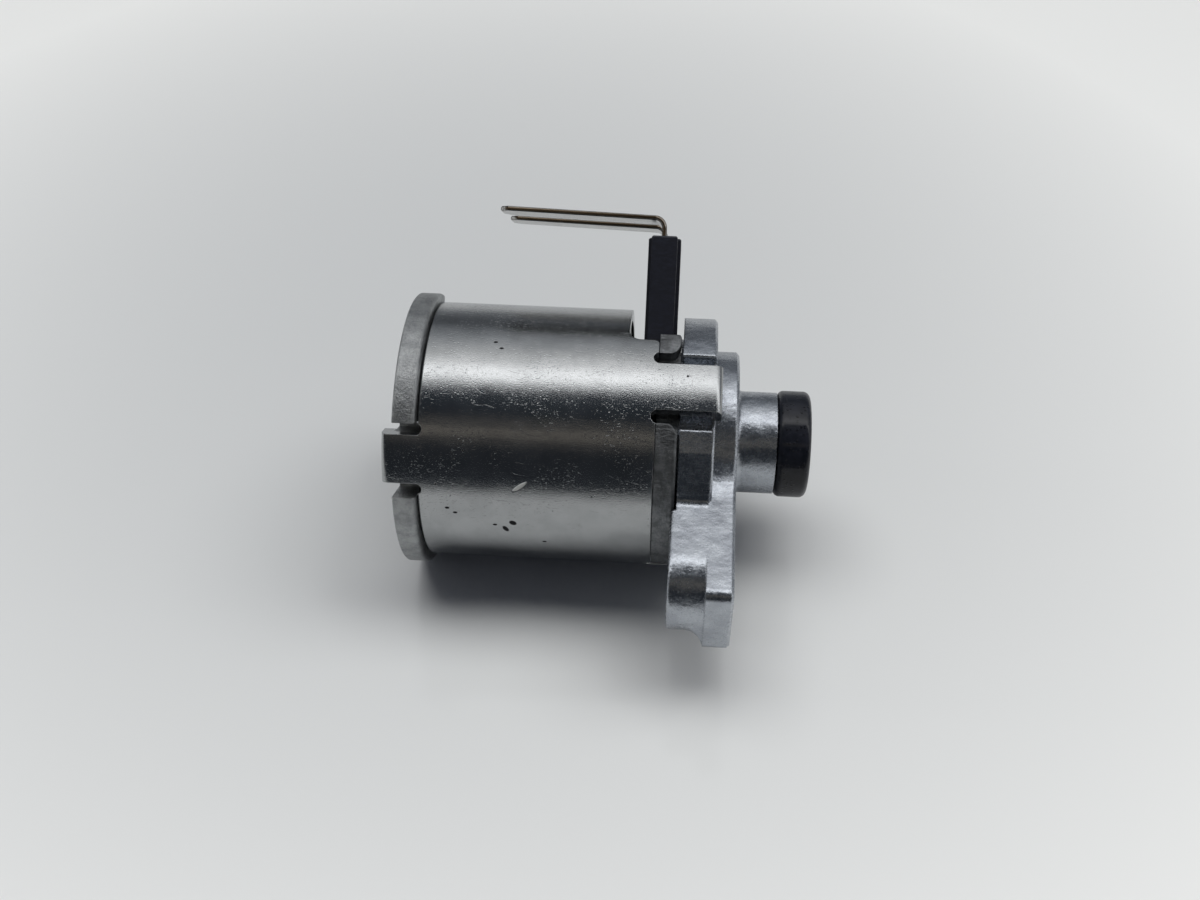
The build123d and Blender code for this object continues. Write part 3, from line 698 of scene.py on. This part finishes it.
copper = enamelled_copper()
low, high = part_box("coil_winding")
winding_outer = high.y / MM
x_low, x_high = low.x / MM, high.x / MM
turns = int((x_high - x_low) / WIRE_MM)
profile = [(x_low, WINDING_INNER), (x_high, WINDING_INNER)]
for turn_number in range(turns):
    middle = x_high - (turn_number + 0.5) * (x_high - x_low) / turns
    for point in range(HUMP_POINTS):
        angle = pi * (HUMP_START + (1 - 2 * HUMP_START) * point / (HUMP_POINTS - 1))
        radius = winding_outer - (1 - sin(angle)) * WIRE_MM / 2
        profile.append((middle + cos(angle) * WIRE_MM / 2, radius))
winding = spun_ring("winding_turns", profile)
winding.data.materials.append(copper)
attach(winding, nodes["coil_winding"]["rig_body"])
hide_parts("coil_winding")
dress(copper, "coil_leads")
print("the outer layer has", turns, "turns")

# %% [markdown]
# The tape that holds the winding is a thin amber film. It is glossy and slightly wrinkled.

# %% Finish of the tape
def amber_tape():
    tape = Finish("tape", (0.45, 0.22, 0.04), 0.0, 0.22, Coat_Weight=0.5, Coat_Roughness=0.1)
    sheet = unrolled(tape)
    wrinkles = tape.noise(tape.scaled(sheet, (0.4, 1.3, 0.0)), 1.0, 3.0, 0.6)
    tape.bump(wrinkles, 0.05, 0.7)
    tape.color_from(tape.blend(tape.ramp(wrinkles, 0.3, 0.7), (0.40, 0.19, 0.03), (0.55, 0.29, 0.06)))
    return tape.done()


dress(amber_tape(), "coil_tape")

# %% [markdown]
# ## The table
# The valve rests on the lowest points of its rear plate and of its can's front end, so the table
# is set through both. The top is pale and smooth with a thin gloss, which gives a faint reflection
# under the valve without taking attention from it. The valve lies near the table's front edge: the
# lower half of the can then reflects a strip of pale table, with the dark room beyond it.

# %% Table
TABLE_HALF = 4.0
TABLE_FRONT = -0.10
rear_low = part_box("rear_plate")[0]
front_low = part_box("front_plate")[0]
rear_touch = Vector((rear_low.x, 0, rear_low.z))
front_touch = Vector((front_low.x, 0, -CAN_RADIUS_MM * MM))
slope = (front_touch.z - rear_touch.z) / (front_touch.x - rear_touch.x)
TABLE_GAP = 0.01 * MM


def pale_top():
    top = Finish("table_top", (0.80, 0.81, 0.80), 0.0, 0.12, IOR=1.45)
    where = top.node("TexCoord").outputs["Object"]
    # painted light and shade: the top is painted paler towards the front and the right and darker near the
    # valve, as the lamp's uneven light and the valve's shade would make it
    slant = top.node("VectorMath", (where, (4.0, -4.0, 0.0)), operation="DOT_PRODUCT").outputs["Value"]
    away = top.node("VectorMath", (where, where), operation="DOT_PRODUCT").outputs["Value"]
    tone = top.number("MULTIPLY_ADD", away, 58.0, top.number("ADD", slant, 0.33))
    top.color_from(top.blend(tone, (0.50, 0.515, 0.525), (0.90, 0.905, 0.89)))
    return top.done()


table_mesh = bpy.data.meshes.new("table")
corners = [(-1, -1), (1, -1), (1, 1), (-1, 1)]
points = []
for side_x, side_y in corners:
    x, y = side_x * TABLE_HALF, max(side_y * TABLE_HALF, TABLE_FRONT)
    points.append((x, y, rear_touch.z + (x - rear_touch.x) * slope - TABLE_GAP))
table_mesh.from_pydata(points, [], [(0, 1, 2, 3)])
table = bpy.data.objects.new("table", table_mesh)
bpy.context.scene.collection.objects.link(table)
table.data.materials.append(pale_top())
print("the table slopes by", round(degrees(atan2(slope, 1)), 2), "degrees under the valve")

# %% [markdown]
# ## The light
# Bright metal shows its surroundings more than its own colour, so the surroundings are most of
# the look. One soft light hangs right above the valve: on the can it makes the bright band. In
# front, where somebody stands, the room is dark, and that makes the black band under it. Behind,
# a pale ceiling fades down to the wall. The world paints this as brightness by angle round the
# valve's axis. Matt things get soft suns from the same place instead, with an even fill, because
# their shadow is easier to control.

# %% Surroundings
# angle round the axis from the front, and how bright and how warm it is there
SURROUNDINGS = (
    (0, 0.045, -0.5),
    (10, 0.034, -0.5),
    (37, 0.034, -0.5),
    (40, 0.30, 0.4),
    (45, 0.30, 0.4),
    (48, 0.042, -0.3),
    (62, 0.045, -0.6),
    (76, 0.055, -0.6),
    (85, 0.12, -0.4),
    (88, 1.7, 0.0),
    (95, 2.9, 0.0),
    (102, 1.8, 0.0),
    (110, 1.1, 0.0),
    (128, 0.60, -0.1),
    (141, 0.36, -0.2),
    (152, 0.13, -0.3),
    (162, 0.12, -0.3),
    (172, 0.24, -0.2),
    (180, 0.28, -0.2),
)
FILL = 0.055
BACKDROP = 0.63

scene = bpy.context.scene
scene.view_settings.view_transform = "Standard"
world = bpy.data.worlds.new("studio")
scene.world = world
world.use_nodes = True
tree = world.node_tree
tree.nodes.clear()


def world_node(kind, **settings):
    made = tree.nodes.new("ShaderNode" + kind)
    for setting, value in settings.items():
        setattr(made, setting, value)
    return made


direction = world_node("TexCoord").outputs["Generated"]
parts = world_node("SeparateXYZ")
tree.links.new(direction, parts.inputs[0])
frontwards = world_node("Math", operation="MULTIPLY")
frontwards.inputs[1].default_value = -1.0
tree.links.new(parts.outputs[1], frontwards.inputs[0])
angle = world_node("Math", operation="ARCTAN2")
tree.links.new(parts.outputs[2], angle.inputs[0])
tree.links.new(frontwards.outputs[0], angle.inputs[1])
share = world_node("Math", operation="DIVIDE")
share.inputs[1].default_value = pi
tree.links.new(angle.outputs[0], share.inputs[0])
colors = world_node("ValToRGB")
tree.links.new(share.outputs[0], colors.inputs[0])
stops = colors.color_ramp.elements
while len(stops) > 1:
    stops.remove(stops[-1])
for number, (degree, bright, warm) in enumerate(SURROUNDINGS):
    stop = stops[0] if number == 0 else stops.new(degree / 180)
    stop.position = degree / 180
    stop.color = (bright * (1 + 0.25 * warm), bright, bright * (1 - 0.35 * warm), 1.0)

seen = world_node("Background")
seen.inputs["Color"].default_value = (BACKDROP, BACKDROP * 1.01, BACKDROP, 1.0)
fill = world_node("Background")
fill.inputs["Color"].default_value = (FILL * 0.85, FILL * 0.93, FILL * 1.3, 1.0)
mirrored = world_node("Background")
tree.links.new(colors.outputs[0], mirrored.inputs["Color"])
ray = world_node("LightPath")
soft_or_mirrored = world_node("MixShader")
tree.links.new(ray.outputs["Is Diffuse Ray"], soft_or_mirrored.inputs[0])
tree.links.new(mirrored.outputs[0], soft_or_mirrored.inputs[1])
tree.links.new(fill.outputs[0], soft_or_mirrored.inputs[2])
all_rays = world_node("MixShader")
tree.links.new(ray.outputs["Is Camera Ray"], all_rays.inputs[0])
tree.links.new(soft_or_mirrored.outputs[0], all_rays.inputs[1])
tree.links.new(seen.outputs[0], all_rays.inputs[2])
output = world_node("OutputWorld")
tree.links.new(all_rays.outputs[0], output.inputs["Surface"])
print("surroundings of", len(SURROUNDINGS), "stops")

# %% [markdown]
# Three suns in a row stand above and a little behind the valve, as one long lamp would. Their wide
# discs make the edge of the shadow soft, and because they are spread along the valve, the short nose
# casts a fainter shadow than the long can. Metals don't see them, because the world already has the
# lamp's reflection.

# %% Overhead light
SUN_ANGLE = 100.0
SUN_TILTS = (-18.0, 7.0, 32.0)
SUN_DISC = 32.0
SUN_STRENGTH = 2.72
sun_data = bpy.data.lights.new("overhead", "SUN")
sun_data.energy = SUN_STRENGTH / len(SUN_TILTS)
sun_data.angle = radians(SUN_DISC)
sun_data.color = (1.0, 1.0, 0.985)
for tilt in SUN_TILTS:
    sun = bpy.data.objects.new("overhead", sun_data)
    sun.rotation_mode = "QUATERNION"
    towards_sun = outwards(SUN_ANGLE) * cos(radians(tilt)) + Vector((sin(radians(tilt)), 0, 0))
    sun.rotation_quaternion = towards_sun.to_track_quat("Z", "Y")
    sun.visible_glossy = False
    scene.collection.objects.link(sun)
    print("sun towards", tuple(round(c, 2) for c in towards_sun))
